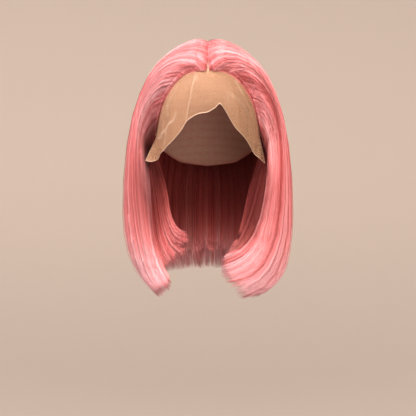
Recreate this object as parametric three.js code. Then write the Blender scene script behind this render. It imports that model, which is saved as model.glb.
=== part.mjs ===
// Lace front wig: a sheer lace front and a stretch cap that carry a middle-parted, chest-length bob.
// Millimetres. +Z is up, the face looks along -Y and +X is the wearer's left, the viewer's right.
// The origin is the inside of the cap's crown, where the top of the head bears.
import * as THREE from "three";

// Rows of a table by the names of its columns
const table = (columns, rows) =>
  rows.map((row) => Object.fromEntries(columns.split(" ").map((column, i) => [column, row[i]])));

// Head form that the cap is cut to: an ellipsoid whose widest level lies crownRise below the origin
const HEAD = { halfWidth: 77, halfLength: 98, crownRise: 100, lowerDrop: 150 };

// Walls, and the gap that neighbouring pieces keep
const CAP_WALL = 1.2;
const LACE_WALL = 1.0;
const GAP = 0.4;
const HAIR_BED = CAP_WALL + GAP;
const BED_MARGIN = 0.92;

// Hair mass: thickness of a curtain, of its root and of its tip, the share of the length over which
// the end thins out, and the share of the thickness that is left at a curtain's side edges
const HAIR = { curtain: 9, underCurtain: 6, root: 1.4, tip: 1.6, featherShare: 0.2, edgeShare: 0.3 };

// Way over the head: the share of it in which hair rises from its root to its crest, how late it
// then spreads away from the head, and the places where the line is set
const OVER_HEAD = { riseShare: 0.14, spreadPower: 2.2, places: [0, 0.045, 0.11, 0.25, 0.45, 0.7, 1] };

// Locks: the groove between two locks deepens towards the ends, where it also parts their tips
const LOCK = {
  rootGroove: 0.5,
  endGroove: 3.2,
  grooveShare: 0.45,
  tipNotch: 0.015,
  shortest: 0.965,
  unevenness: 1.9,
};

// How much the steps along a lock crowd together at its root and its end, and the share of its
// length over which its direction is taken
const BEND_CROWDING = 0.6;
const NEARBY = 0.01;

// Level at which the fall past the jaw is given, and the levels between which hair leaves its bed
const JAW_Z = -200;
const BED_END = { top: -140, foot: -170 };

// Cap edge: elevation on the head form at each azimuth from the front, along the seam with the
// lace, over the ear and down to the nape
const CAP_EDGE = table("azimuth elevation", [
  [0, 54],
  [30, 46],
  [50, 33],
  [64, 14],
  [76, 0],
  [92, -7],
  [115, -18],
  [145, -25],
  [180, -27],
]);

// How the loose lace leaves the head: slowly below the hairline, then faster
const LACE_FLARE = 1.3;

// Lace front, from the wearer's right end to the left: where the hair starts, where the lace is
// cut off, and how far the loose end stands off the head
const LACE = table("azimuth hairline cut standOff", [
  [-75, -12, -22.5, 21],
  [-70, -10.5, -24, 15],
  [-64, -7, -24, 8],
  [-56, 0.5, -21, 4],
  [-42, 17, -16.5, 2],
  [-30, 26.5, -11.5, 1],
  [-20, 29.5, -5.5, 0.6],
  [-10, 30.5, -2.4, 0.4],
  [0, 31, -1.5, 0.4],
  [7, 31, 1, 0.4],
  [12, 30.5, 4.2, 0.6],
  [18, 30, -1.2, 0.8],
  [29, 26.5, -9.4, 1],
  [42, 17, -14.5, 2],
  [57, -1, -21.4, 3],
  [66, -8.5, -23.5, 7],
  [75, -12, -25, 14],
]);

// Creases pressed into the loose lace: azimuth at the hairline and at the cut edge
const LACE_CREASES = table("top foot width height", [
  [-14, -21.5, 3, 2.2],
  [-34, -46, 3.5, 2.0],
  [-43, -57, 4, 2.6],
  [22, 33, 4, 2.0],
  [40, 64, 4, 2.6],
]);

// Outer hair of one half, front to back: the root on the head form, the azimuth and elevation at
// which the lock leaves the head, the height of its crest over the head and of the leaving place,
// the upward sweep of the combing, and the fall at jaw level
const FALL = table("rootX rootY rootZ leaveAz leaveEl crest leaveLift sweep jawX jawY", [
  [71.2, -31, -131, 83, -20, 5, 13, 0, 80, -43],
  [66.5, -49, -110, 76, -13, 7, 19, 5, 87, -49],
  [50.5, -69, -72, 74, -6, 9, 24, 13, 97, -48],
  [26, -79, -51, 75, -2, 11, 27, 23, 107, -40],
  [2.3, -83, -47, 79, 0, 11, 28.5, 33, 114, -26],
  [1.5, -53, -16, 87, 0, 10.5, 30, 20, 119.5, -6],
  [1.4, -14, -1, 98, 0, 10, 30, 6, 117.5, 22],
  [3, 0, 0, 121, 0, 10.5, 29, 0, 98, 72],
  [3, 4, 0, 150, 0, 12.5, 27, 0, 57, 105],
  [0, 6, 0, 180, 0, 14, 25, 0, 0, 117],
]);

// Ends of the outer hair, row for row with FALL: the fall at bust level, the tip, and how far the
// end bows outwards before it turns in
const ENDS_RIGHT_OF_WEARER = table("bustX bustY bustZ tipX tipY tipZ curl", [
  [73, -62, -278, 48, -97, -333, 6],
  [78, -66, -281, 50, -99, -338, 7],
  [86, -65, -283, 54, -98, -345, 8],
  [96, -58, -283, 60, -93, -350, 9],
  [107, -45, -282, 66, -80, -353, 10],
  [115, -19, -279, 72, -52, -351, 9],
  [115, 12, -276, 84, 0, -338, 8],
  [96, 62, -274, 75, 46, -330, 8],
  [55, 94, -272, 44, 74, -325, 8],
  [0, 106, -271, 0, 84, -322, 8],
]);
const ENDS_LEFT_OF_WEARER = table("bustX bustY bustZ tipX tipY tipZ curl", [
  [66, -58, -260, 17, -97, -299, 9],
  [74, -63, -266, 15, -99, -315, 12],
  [85, -62, -275, 20, -99, -328, 15],
  [98, -55, -281, 32, -97, -341, 18],
  [109, -41, -286, 42, -90, -355, 20],
  [116, -17, -285, 76, -54, -352, 14],
  [115.5, 12, -280, 87, 2, -341, 9],
]).concat(ENDS_RIGHT_OF_WEARER.slice(7));

// Shorter hair under the outer curtain, behind the ear to the back of the neck; its front locks
// flick in round the neck
const UNDER_FALL = table("rootX rootY rootZ leaveAz leaveEl crest leaveLift sweep jawX jawY", [
  [77, 0, -98, 91, -12, 4, 7, 0, 61, -14],
  [76, 17, -105, 101, -16, 5, 9, 0, 69, 2],
  [69, 43, -116, 117, -20, 6, 10, 0, 74, 28],
  [49, 74, -126, 140, -24, 6, 10, 0, 56, 64],
  [26, 90, -131, 160, -26, 6, 10, 0, 30, 80],
  [0, 96, -131, 180, -26, 6, 10, 0, 0, 84],
]);
const UNDER_ENDS_RIGHT_OF_WEARER = table("bustX bustY bustZ tipX tipY tipZ curl", [
  [52, -27, -241, 24, -50, -266, 8],
  [62, -31, -262, 30, -62, -292, 9],
  [74, 10, -270, 46, -18, -312, 9],
  [56, 58, -268, 42, 40, -310, 7],
  [30, 74, -264, 24, 56, -304, 7],
  [0, 78, -262, 0, 60, -300, 7],
]);
const UNDER_ENDS_LEFT_OF_WEARER = table("bustX bustY bustZ tipX tipY tipZ curl", [
  [47, -24, -250, 29, -54, -285, 8],
  [60, -31, -266, 26, -64, -303, 9],
]).concat(UNDER_ENDS_RIGHT_OF_WEARER.slice(2));

// Grid fineness
const SIDE_LOCKS = 10;
const BACK_LOCKS = 10;
const UNDER_LOCKS = 5;
const COLUMNS_PER_LOCK = 3;
const OUTER_STEPS = 17;
const UNDER_STEPS = 11;
const CAP_COLUMNS = 72;
const CAP_RINGS = 6;
const LACE_COLUMNS = 60;
const LACE_STEPS = 5;

// Share of the half circumference, front to back, where the side curtain gives way to the back one
const SIDE_END = 0.74;

const degrees = THREE.MathUtils.degToRad;
const ease = (t) => THREE.MathUtils.smoothstep(t, 0, 1);

// One row of a table at a share of its length, each column on a smooth curve through its rows
function rowAt(rows, share) {
  const place = THREE.MathUtils.clamp(share, 0, 1) * (rows.length - 1);
  const i = Math.min(Math.floor(place), rows.length - 2);
  const t = place - i;
  const around = [i - 1, i, i + 1, i + 2].map((k) => rows[THREE.MathUtils.clamp(k, 0, rows.length - 1)]);
  const row = {};
  for (const column of Object.keys(rows[i])) {
    const [p0, p1, p2, p3] = around.map((r) => r[column]);
    const bend = (2 * p0 - 5 * p1 + 4 * p2 - p3) * t * t;
    const twist = (3 * p1 - p0 - 3 * p2 + p3) * t * t * t;
    row[column] = 0.5 * (2 * p1 + (p2 - p0) * t + bend + twist);
  }
  return row;
}

// A table column at an azimuth, on straight lines between its rows
function atAzimuth(rows, azimuth, column) {
  const last = rows.length - 1;
  const i = Math.max(0, Math.min(last - 1, rows.findIndex((r) => r.azimuth > azimuth) - 1));
  const from = azimuth >= rows[last].azimuth ? last - 1 : i;
  const share = (azimuth - rows[from].azimuth) / (rows[from + 1].azimuth - rows[from].azimuth);
  return THREE.MathUtils.lerp(rows[from][column], rows[from + 1][column], share);
}

// Unit direction from the middle of the head: azimuth from the face round to the back, elevation
// from the widest level up, past 90 over the top
function direction(azimuth, elevation) {
  const [a, e] = [degrees(azimuth), degrees(elevation)];
  return new THREE.Vector3(Math.cos(e) * Math.sin(a), -Math.cos(e) * Math.cos(a), Math.sin(e));
}

// Unit direction in which a place near the head form lies, on the scale of the form
function directionOf(x, y, z) {
  const height = z > -HEAD.crownRise ? HEAD.crownRise : HEAD.lowerDrop;
  const scaled = new THREE.Vector3(x / HEAD.halfWidth, y / HEAD.halfLength, (z + HEAD.crownRise) / height);
  return scaled.normalize();
}

// Point on the head form in a direction, lifted off it
function headPoint(towards, lift) {
  const height = towards.z > 0 ? HEAD.crownRise : HEAD.lowerDrop;
  return new THREE.Vector3(
    towards.x * (HEAD.halfWidth + lift),
    towards.y * (HEAD.halfLength + lift),
    towards.z * (height + lift) - HEAD.crownRise,
  );
}

// Line of one lock from root to tip on the outer face of the hair: over the head along a swept
// arc, then a free fall through jaw and bust to a tip that turns in
function lockLine(row, end) {
  const root = directionOf(row.rootX, row.rootY, row.rootZ);
  const leave = direction(row.leaveAz, row.leaveEl);
  const middle = root.clone().add(leave).normalize();
  middle.z += Math.tan(degrees(row.sweep));
  const points = [];
  for (const t of OVER_HEAD.places) {
    const towards = root.clone().multiplyScalar((1 - t) ** 2);
    towards.addScaledVector(middle, 2 * t * (1 - t)).addScaledVector(leave, t * t).normalize();
    const rise = 1 - (1 - Math.min(t / OVER_HEAD.riseShare, 1)) ** 2;
    const spread = (row.leaveLift - row.crest) * t ** OVER_HEAD.spreadPower;
    const lift = THREE.MathUtils.lerp(HAIR_BED + HAIR.root, row.crest, rise) + spread;
    points.push(headPoint(towards, lift));
  }
  const jaw = new THREE.Vector3(row.jawX, row.jawY, JAW_Z);
  const bust = new THREE.Vector3(end.bustX, end.bustY, end.bustZ);
  const tip = new THREE.Vector3(end.tipX, end.tipY, end.tipZ);
  const chord = tip.clone().sub(bust);
  const run = Math.hypot(chord.x, chord.y);
  const bow = new THREE.Vector3((-chord.x / run) * -chord.z, (-chord.y / run) * -chord.z, -run);
  const turn = bust.clone().add(tip).multiplyScalar(0.5);
  turn.addScaledVector(bow, end.curl / chord.length());
  return new THREE.CatmullRomCurve3([...points, jaw, bust, turn, tip]);
}

// Closed wall between an outer and an inner grid of points with the same rows and columns
function closedWall(outer, inner, poles = null) {
  const [rows, columns] = [outer.length, outer[0].length];
  const points = [...outer.flat(), ...inner.flat()];
  const at = (face, r, c) => face * rows * columns + r * columns + (c % columns);
  const index = [];
  const quad = (a, b, c, d) => index.push(a, b, c, a, c, d);
  const across = poles ? columns : columns - 1;
  for (let c = 0; c < across; c++) {
    for (let r = 0; r < rows - 1; r++) {
      quad(at(0, r, c), at(0, r, c + 1), at(0, r + 1, c + 1), at(0, r + 1, c));
      quad(at(1, r, c), at(1, r + 1, c), at(1, r + 1, c + 1), at(1, r, c + 1));
    }
    quad(at(0, rows - 1, c), at(0, rows - 1, c + 1), at(1, rows - 1, c + 1), at(1, rows - 1, c));
    if (!poles) quad(at(0, 0, c), at(1, 0, c), at(1, 0, c + 1), at(0, 0, c + 1));
  }
  if (poles) {
    // Each face closes at the crown in a fan round its own pole
    points.push(...poles);
    for (let c = 0; c < columns; c++) {
      index.push(points.length - 2, at(0, 0, c + 1), at(0, 0, c));
      index.push(points.length - 1, at(1, 0, c), at(1, 0, c + 1));
    }
  } else {
    for (let r = 0; r < rows - 1; r++) {
      quad(at(0, r, 0), at(0, r + 1, 0), at(1, r + 1, 0), at(1, r, 0));
      quad(at(0, r, across), at(1, r, across), at(1, r + 1, across), at(0, r + 1, across));
    }
  }
  return facingOut(points, index);
}

// Geometry of a closed surface, turned so that its faces point out
function facingOut(points, index) {
  const corner = new THREE.Vector3();
  let volume = 0;
  for (let i = 0; i < index.length; i += 3) {
    corner.crossVectors(points[index[i + 1]], points[index[i + 2]]);
    volume += corner.dot(points[index[i]]);
  }
  if (volume < 0) index.reverse();
  const geometry = new THREE.BufferGeometry().setFromPoints(points).setIndex(index);
  geometry.computeVertexNormals();
  return geometry;
}

// Stretch cap: a thin dome from the crown to its edge
function capGeometry() {
  const grid = (lift) => {
    const rings = [];
    for (let r = 1; r <= CAP_RINGS; r++) {
      const ring = [];
      for (let c = 0; c < CAP_COLUMNS; c++) {
        const azimuth = (360 * c) / CAP_COLUMNS;
        const folded = azimuth > 180 ? 360 - azimuth : azimuth;
        const edge = atAzimuth(CAP_EDGE, folded, "elevation");
        const elevation = 90 - ((90 - edge) * r) / CAP_RINGS;
        ring.push(headPoint(direction(azimuth, elevation), lift));
      }
      rings.push(ring);
    }
    return rings;
  };
  const crown = new THREE.Vector3(0, 0, 1);
  return closedWall(grid(CAP_WALL), grid(0), [headPoint(crown, CAP_WALL), headPoint(crown, 0)]);
}

// Height of the creases in the loose lace at a place between the hairline (0) and the cut (1)
function creaseHeight(azimuth, share) {
  let height = 0;
  for (const crease of LACE_CREASES) {
    const off = (azimuth - THREE.MathUtils.lerp(crease.top, crease.foot, share)) / crease.width;
    height += crease.height * Math.exp(-off * off) * ease(share * 2);
  }
  return height;
}

// Lace front: from the seam with the cap, under the hair to the hairline, then loose to the cut
function laceGeometry() {
  const seamGap = THREE.MathUtils.radToDeg((2 * GAP) / HEAD.halfWidth);
  const grid = (wall) => {
    const rows = [];
    for (let step = -1; step <= LACE_STEPS; step++) {
      const row = [];
      for (let c = 0; c <= LACE_COLUMNS; c++) {
        const { azimuth, hairline, cut, standOff } = rowAt(LACE, c / LACE_COLUMNS);
        const share = Math.max(step, 0) / LACE_STEPS;
        const seam = atAzimuth(CAP_EDGE, Math.abs(azimuth), "elevation") - seamGap;
        const elevation = step < 0 ? seam : THREE.MathUtils.lerp(hairline, cut, share);
        const loose = standOff * share ** LACE_FLARE + creaseHeight(azimuth, share);
        row.push(headPoint(direction(azimuth, elevation), wall + loose));
      }
      rows.push(row);
    }
    return rows;
  };
  return closedWall(grid(LACE_WALL), grid(0));
}

// Whether a column of a curtain is a groove between locks, and its share of the full length
function lockColumn(column) {
  const groove = column % COLUMNS_PER_LOCK === 0;
  const lock = Math.floor(column / COLUMNS_PER_LOCK);
  const uneven = Math.abs(Math.sin(LOCK.unevenness * (lock + 1)));
  const length = groove ? LOCK.shortest - LOCK.tipNotch : THREE.MathUtils.lerp(LOCK.shortest, 1, uneven);
  return { groove, length };
}

// Places along a lock, closer together at the root and at the end, where it bends most
function lockPlaces(steps) {
  const even = Array.from({ length: steps + 1 }, (_, s) => s / steps);
  return even.map((t) => t - (BEND_CROWDING * Math.sin(2 * Math.PI * t)) / (2 * Math.PI));
}

// Curtain of locks fused to one backing: columns lists the place in the tables and the side of the
// head of each column and of one more beyond either edge, running round the head from the
// wearer's right if turn is 1, else from the left
function curtainGeometry(columns, turn, fall, endsOf, steps, thickness) {
  const curves = columns.map(({ share, side }) => {
    const curve = lockLine(rowAt(fall, share), rowAt(endsOf(side), share));
    return (v) => curve.getPointAt(v).multiply(new THREE.Vector3(side, 1, 1));
  });
  const places = lockPlaces(steps);
  const outer = places.map(() => []);
  const inner = places.map(() => []);
  const last = curves.length - 3;
  for (let c = 0; c <= last; c++) {
    const [before, line, after] = curves.slice(c, c + 3);
    const { groove, length } = lockColumn(c);
    const edge = ease(Math.min(c, last - c) / COLUMNS_PER_LOCK);
    const full = thickness * THREE.MathUtils.lerp(HAIR.edgeShare, 1, edge);
    const drawnIn = (c === 0 ? GAP : c === last ? -GAP : 0) / 2;
    places.forEach((v, s) => {
      const at = v * length;
      const across = after(at).sub(before(at)).normalize();
      const along = line(Math.min(at + NEARBY, 1)).sub(line(Math.max(at - NEARBY, 0)));
      const outward = across.clone().cross(along).multiplyScalar(turn).normalize();
      const point = line(at).addScaledVector(across, drawnIn);
      const feather = ease((1 - v) / HAIR.featherShare);
      const wanted = THREE.MathUtils.lerp(HAIR.tip, full, feather);
      const bedded = THREE.MathUtils.smoothstep(point.z, BED_END.foot, BED_END.top);
      const room = Math.min(wanted, Math.max(HAIR.root, clearOfBed(point)));
      const wall = THREE.MathUtils.lerp(wanted, room, bedded);
      const cut = THREE.MathUtils.lerp(LOCK.rootGroove, LOCK.endGroove, v);
      const depth = groove ? Math.min(cut, wall * LOCK.grooveShare) : 0;
      outer[s].push(point.clone().addScaledVector(outward, -depth));
      inner[s].push(point.clone().addScaledVector(outward, -wall));
    });
  }
  return closedWall(outer, inner);
}

// How far a point stands off the bed that the hair is rooted in, a little less than true
function clearOfBed(point) {
  const height = point.z > -HEAD.crownRise ? HEAD.crownRise : HEAD.lowerDrop;
  const fromMiddle = new THREE.Vector3(point.x, point.y, point.z + HEAD.crownRise);
  const bed = new THREE.Vector3(HEAD.halfWidth, HEAD.halfLength, height).addScalar(HAIR_BED);
  const reach = fromMiddle.clone().divide(bed).length();
  return fromMiddle.length() * (1 - 1 / reach) * BED_MARGIN;
}

// Columns of a curtain between two places on one half of the head, and one beyond each; past the
// middle of the back they come out on the other half
function halfColumns(locks, from, to, side) {
  const count = locks * COLUMNS_PER_LOCK;
  return Array.from({ length: count + 3 }, (_, c) => {
    const share = from + ((to - from) * (c - 1)) / count;
    return share > 1 ? { share: 2 - share, side: -side } : { share, side };
  });
}

// Columns of the back curtain, from the wearer's right round to the left
function backColumns() {
  const wearersRight = halfColumns(BACK_LOCKS / 2, SIDE_END, 1, -1);
  const wearersLeft = halfColumns(BACK_LOCKS / 2, SIDE_END, 1, 1).reverse();
  return [...wearersRight.slice(0, -1), ...wearersLeft.slice(2)];
}

const outerEnds = (side) => (side < 0 ? ENDS_RIGHT_OF_WEARER : ENDS_LEFT_OF_WEARER);
const underEnds = (side) => (side < 0 ? UNDER_ENDS_RIGHT_OF_WEARER : UNDER_ENDS_LEFT_OF_WEARER);

const laceNet = new THREE.MeshStandardMaterial({ color: 0xd9b496, roughness: 0.8, metalness: 0 });
const capNet = new THREE.MeshStandardMaterial({ color: 0xb98d78, roughness: 0.85, metalness: 0 });
const pinkHair = new THREE.MeshStandardMaterial({ color: 0xf08f96, roughness: 0.42, metalness: 0 });
const shadedHair = new THREE.MeshStandardMaterial({ color: 0xd9747c, roughness: 0.5, metalness: 0 });

function piece(name, geometry, material) {
  const mesh = new THREE.Mesh(geometry, material);
  mesh.name = name;
  return mesh;
}

const wig = new THREE.Group();
wig.add(piece("wig_cap", capGeometry(), capNet));
wig.add(piece("lace_front", laceGeometry(), laceNet));
for (const [name, side] of [["right", -1], ["left", 1]]) {
  const outer = halfColumns(SIDE_LOCKS, 0, SIDE_END, side);
  const under = halfColumns(UNDER_LOCKS, 0, 1, side);
  const outerHair = curtainGeometry(outer, -side, FALL, outerEnds, OUTER_STEPS, HAIR.curtain);
  const underHair = curtainGeometry(under, -side, UNDER_FALL, underEnds, UNDER_STEPS, HAIR.underCurtain);
  wig.add(piece(`side_hair_${name}`, outerHair, pinkHair));
  wig.add(piece(`under_hair_${name}`, underHair, shadedHair));
}
const backHair = curtainGeometry(backColumns(), 1, FALL, outerEnds, OUTER_STEPS, HAIR.curtain);
wig.add(piece("back_hair", backHair, pinkHair));

export default wig;
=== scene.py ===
import math
from types import SimpleNamespace
import bpy
import numpy as np
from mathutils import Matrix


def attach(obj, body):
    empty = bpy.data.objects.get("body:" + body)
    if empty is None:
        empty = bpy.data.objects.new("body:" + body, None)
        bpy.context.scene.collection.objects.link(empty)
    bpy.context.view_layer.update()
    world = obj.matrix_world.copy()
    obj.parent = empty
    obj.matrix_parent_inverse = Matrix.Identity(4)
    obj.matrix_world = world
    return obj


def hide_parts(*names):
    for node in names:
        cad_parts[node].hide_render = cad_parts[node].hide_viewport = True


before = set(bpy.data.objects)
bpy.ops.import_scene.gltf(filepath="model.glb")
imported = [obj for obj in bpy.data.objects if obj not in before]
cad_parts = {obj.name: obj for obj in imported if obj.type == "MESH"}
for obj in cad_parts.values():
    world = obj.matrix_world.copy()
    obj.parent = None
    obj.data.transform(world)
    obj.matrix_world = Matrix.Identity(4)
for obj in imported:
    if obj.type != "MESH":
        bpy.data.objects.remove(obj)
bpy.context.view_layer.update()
scene = bpy.context.scene
rng = np.random.default_rng(7)
mm = 0.001  # tables and sums are in millimetres and degrees, meshes in metres


# Camera, a little below the middle of the hair and straight in front of the part
cameraView = {"distance": 1.5, "height": -0.232, "lens": 90.8}
camera = bpy.data.objects.new("camera", bpy.data.cameras.new("camera"))
camera.location = (0, -cameraView["distance"], cameraView["height"])
camera.rotation_euler = (math.pi / 2, 0, 0)
camera.data.lens = cameraView["lens"]
scene.collection.objects.link(camera)
scene.camera = camera


# Inner form that the cap and the lace are shaped to, and the bed that the hair is rooted in
capForm = {"halfWidth": 77, "halfLength": 98, "crownRise": 100, "lowerDrop": 150}
formMiddle = np.array([0, 0, -capForm["crownRise"]])
hairBed = 1.6  # how far the bed stands off the form
rootDepth = 1.4  # thickness of the hair at its roots
bedEnd = {"top": -140, "foot": -170}  # levels between which hair leaves its bed

# Locks of the outer hair from the front corner round to the back: root x, y, z; azimuth and elevation
# where the lock leaves the cap; lift over the roots and where it leaves; bow upwards; x, y at mid level
outerLocks = np.array([
    [71.2, -31, -131, 83, -20, 5, 13, 0, 80, -43],
    [66.5, -49, -110, 76, -13, 7, 19, 5, 87, -49],
    [50.5, -69, -72, 74, -6, 9, 24, 13, 97, -48],
    [26, -79, -51, 75, -2, 11, 27, 23, 107, -40],
    [2.3, -83, -47, 79, 0, 11, 28.5, 33, 114, -26],
    [1.5, -53, -16, 87, 0, 10.5, 30, 20, 119.5, -6],
    [1.4, -14, -1, 98, 0, 10, 30, 6, 117.5, 22],
    [3, 0, 0, 121, 0, 10.5, 29, 0, 98, 72],
    [3, 4, 0, 150, 0, 12.5, 27, 0, 57, 105],
    [0, 6, 0, 180, 0, 14, 25, 0, 0, 117],
], float)

# Ends, row for row: x, y, z low down; x, y, z of the tip; how far the end bows out before it turns in
outerEndsRight = np.array([
    [73, -62, -278, 48, -97, -333, 6],
    [78, -66, -281, 50, -99, -338, 7],
    [86, -65, -283, 54, -98, -345, 8],
    [96, -58, -283, 60, -93, -350, 9],
    [107, -45, -282, 66, -80, -353, 10],
    [115, -19, -279, 72, -52, -351, 9],
    [115, 12, -276, 84, 0, -338, 8],
    [96, 62, -274, 75, 46, -330, 8],
    [55, 94, -272, 44, 74, -325, 8],
    [0, 106, -271, 0, 84, -322, 8],
], float)
outerEndsLeft = np.concatenate([[
    [66, -58, -260, 17, -97, -299, 9],
    [74, -63, -266, 15, -99, -315, 12],
    [85, -62, -275, 20, -99, -328, 15],
    [98, -55, -281, 32, -97, -341, 18],
    [109, -41, -286, 42, -90, -355, 20],
    [116, -17, -285, 76, -54, -352, 14],
    [115.5, 12, -280, 87, 2, -341, 9],
], outerEndsRight[7:]])

# The shorter hair underneath, from the side to the middle of the back, in the same columns
underLocks = np.array([
    [77, 0, -98, 91, -12, 4, 7, 0, 61, -14],
    [76, 17, -105, 101, -16, 5, 9, 0, 69, 2],
    [69, 43, -116, 117, -20, 6, 10, 0, 74, 28],
    [49, 74, -126, 140, -24, 6, 10, 0, 56, 64],
    [26, 90, -131, 160, -26, 6, 10, 0, 30, 80],
    [0, 96, -131, 180, -26, 6, 10, 0, 0, 84],
], float)
underEndsRight = np.array([
    [52, -27, -241, 24, -50, -266, 8],
    [62, -31, -262, 30, -62, -292, 9],
    [74, 10, -270, 46, -18, -312, 9],
    [56, 58, -268, 42, 40, -310, 7],
    [30, 74, -264, 24, 56, -304, 7],
    [0, 78, -262, 0, 60, -300, 7],
], float)
underEndsLeft = np.concatenate([[
    [47, -24, -250, 29, -54, -285, 8],
    [60, -31, -266, 26, -64, -303, 9],
], underEndsRight[2:]])
midLevel = -200
overCap = {"places": [0, 0.045, 0.11, 0.25, 0.45, 0.7, 1], "riseShare": 0.14, "spreadPower": 2.2}
sheetSize = {"outerPerHalf": 200, "underPerHalf": 120, "steps": 140, "layers": 24, "overrun": 7}


def ease(t):
    t = np.clip(t, 0, 1)
    return t * t * (3 - 2 * t)


def ramp(values, start, over):
    # 0 up to the start, then rising to 1 over a stretch
    return ease((values - start) / over)


def bell(far, halfWidth):
    return np.exp(-(far / halfWidth) ** 2)


def unit(vectors):
    return vectors / np.maximum(np.linalg.norm(vectors, axis=-1, keepdims=True), 1e-9)


def rowAt(rows, shares):
    # Rows of a table at shares of its length, on smooth curves through its rows
    place = np.clip(shares, 0, 1) * (len(rows) - 1)
    low = np.minimum(place.astype(int), len(rows) - 2)
    t = (place - low)[:, None]
    p0, p1, p2, p3 = (rows[np.clip(low + k, 0, len(rows) - 1)] for k in (-1, 0, 1, 2))
    bend = (2 * p0 - 5 * p1 + 4 * p2 - p3) * t ** 2
    twist = (3 * p1 - p0 - 3 * p2 + p3) * t ** 3
    return 0.5 * (2 * p1 + (p2 - p0) * t + bend + twist)


def direction(azimuth, elevation):
    a, e = np.radians(azimuth), np.radians(elevation)
    return np.stack([np.cos(e) * np.sin(a), -np.cos(e) * np.cos(a), np.sin(e)], axis=-1)


def formScale(upper):
    # Half axes of the form, above or below its middle
    height = np.where(upper, capForm["crownRise"], capForm["lowerDrop"])
    width, length = (np.full(height.shape, capForm[side]) for side in ("halfWidth", "halfLength"))
    return np.stack([width, length, height], axis=-1)


def formPoint(towards, lift):
    return towards * (formScale(towards[..., 2] > 0) + lift[..., None]) + formMiddle


def clearOfBed(points):
    # How far points stand off the bed that the hair is rooted in
    fromMiddle = points - formMiddle
    reach = np.linalg.norm(fromMiddle / (formScale(fromMiddle[..., 2] > 0) + hairBed), axis=-1)
    return np.linalg.norm(fromMiddle, axis=-1) * (1 - 1 / np.maximum(reach, 1e-6))


def smoothLines(points, perSpan=20):
    # Centripetal curves through rows of points, sampled evenly within each span
    before = 2 * points[:, :1] - points[:, 1:2]
    after = 2 * points[:, -1:] - points[:, -2:-1]
    p = np.concatenate([before, points, after], axis=1)
    p0, p1, p2, p3 = p[:, :-3], p[:, 1:-2], p[:, 2:-1], p[:, 3:]
    spans = ((p0, p1), (p1, p2), (p2, p3))
    d0, d1, d2 = (np.sqrt(np.linalg.norm(b - a, axis=2, keepdims=True)) for a, b in spans)
    m1 = ((p1 - p0) / d0 - (p2 - p0) / (d0 + d1) + (p2 - p1) / d1) * d1
    m2 = ((p2 - p1) / d1 - (p3 - p1) / (d1 + d2) + (p3 - p2) / d2) * d1
    t = (np.arange(perSpan) / perSpan)[None, None, :, None]
    p1, p2, m1, m2 = (a[:, :, None] for a in (p1, p2, m1, m2))
    line = p1 + m1 * t + (3 * (p2 - p1) - 2 * m1 - m2) * t ** 2 + (2 * (p1 - p2) + m1 + m2) * t ** 3
    line = line.reshape(len(points), -1, 3)
    return np.concatenate([line, points[:, -1:]], axis=1)


def evenly(lines, steps):
    # The same lines with points at equal distances
    result = np.empty((len(lines), steps + 1, 3))
    for i, line in enumerate(lines):
        far = np.concatenate([[0], np.cumsum(np.linalg.norm(np.diff(line, axis=0), axis=1))])
        wanted = np.linspace(0, far[-1], steps + 1)
        for axis in range(3):
            result[i, :, axis] = np.interp(wanted, far, line[:, axis])
    return result


def lockLines(locks, ends):
    # Lines of locks from root to tip on the outer face of the hair
    roots = locks[:, :3]
    azimuth, elevation, lift, leaveLift, bow, midX, midY = locks[:, 3:].T
    root = unit((roots - formMiddle) / formScale(roots[:, 2] > formMiddle[2]))
    leave = direction(azimuth, elevation)
    middle = unit(root + leave)
    middle[:, 2] += np.tan(np.radians(bow))
    start = hairBed + rootDepth
    points = []
    for t in overCap["places"]:
        towards = unit((1 - t) ** 2 * root + 2 * t * (1 - t) * middle + t ** 2 * leave)
        rise = 1 - (1 - min(t / overCap["riseShare"], 1)) ** 2
        off = start + (lift - start) * rise + (leaveLift - lift) * t ** overCap["spreadPower"]
        points.append(formPoint(towards, off))
    mid = np.stack([midX, midY, np.full(len(locks), midLevel)], axis=-1)
    low, tip, bulge = ends[:, :3], ends[:, 3:6], ends[:, 6]
    chord = tip - low
    run = np.hypot(chord[:, 0], chord[:, 1])
    outward = np.stack([chord[:, 0] / run * chord[:, 2], chord[:, 1] / run * chord[:, 2], -run], axis=-1)
    turn = (low + tip) / 2 + outward * (bulge / np.linalg.norm(chord, axis=1))[:, None]
    return smoothLines(np.stack([*points, mid, low, turn, tip], axis=1))


def sheetOf(points):
    # Points and outward normals on a grid of places round the cap and along the hair
    across = np.gradient(points, axis=0)
    normals = unit(np.cross(across, np.gradient(points, axis=1)))
    return {"points": points, "normals": normals, "width": np.linalg.norm(across, axis=-1)}


def hairSheet(locks, endsRight, endsLeft, perHalf):
    # Outer face of a curtain all round, from the right front by the back to the left front
    shares = np.linspace(0, 1, perHalf + 1)
    steps = sheetSize["steps"]
    right = evenly(lockLines(rowAt(locks, shares), rowAt(endsRight, shares)), steps) * np.array([-1, 1, 1])
    left = evenly(lockLines(rowAt(locks, shares), rowAt(endsLeft, shares)), steps)[::-1]
    points = np.concatenate([right, left[1:]])
    further = np.arange(1, sheetSize["overrun"] + 1)[None, :, None]
    beyond = points[:, -1:] + (points[:, -1:] - points[:, -2:-1]) * further
    return sheetOf(np.concatenate([points, beyond], axis=1))


def layerSheet(start, end):
    # Sheet that fills the space between two lines of hair with layers that pass from one to the other
    share = np.linspace(0, 1, sheetSize["layers"])[:, None, None]
    return sheetOf(start[None] * (1 - share) + end[None] * share)


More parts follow.
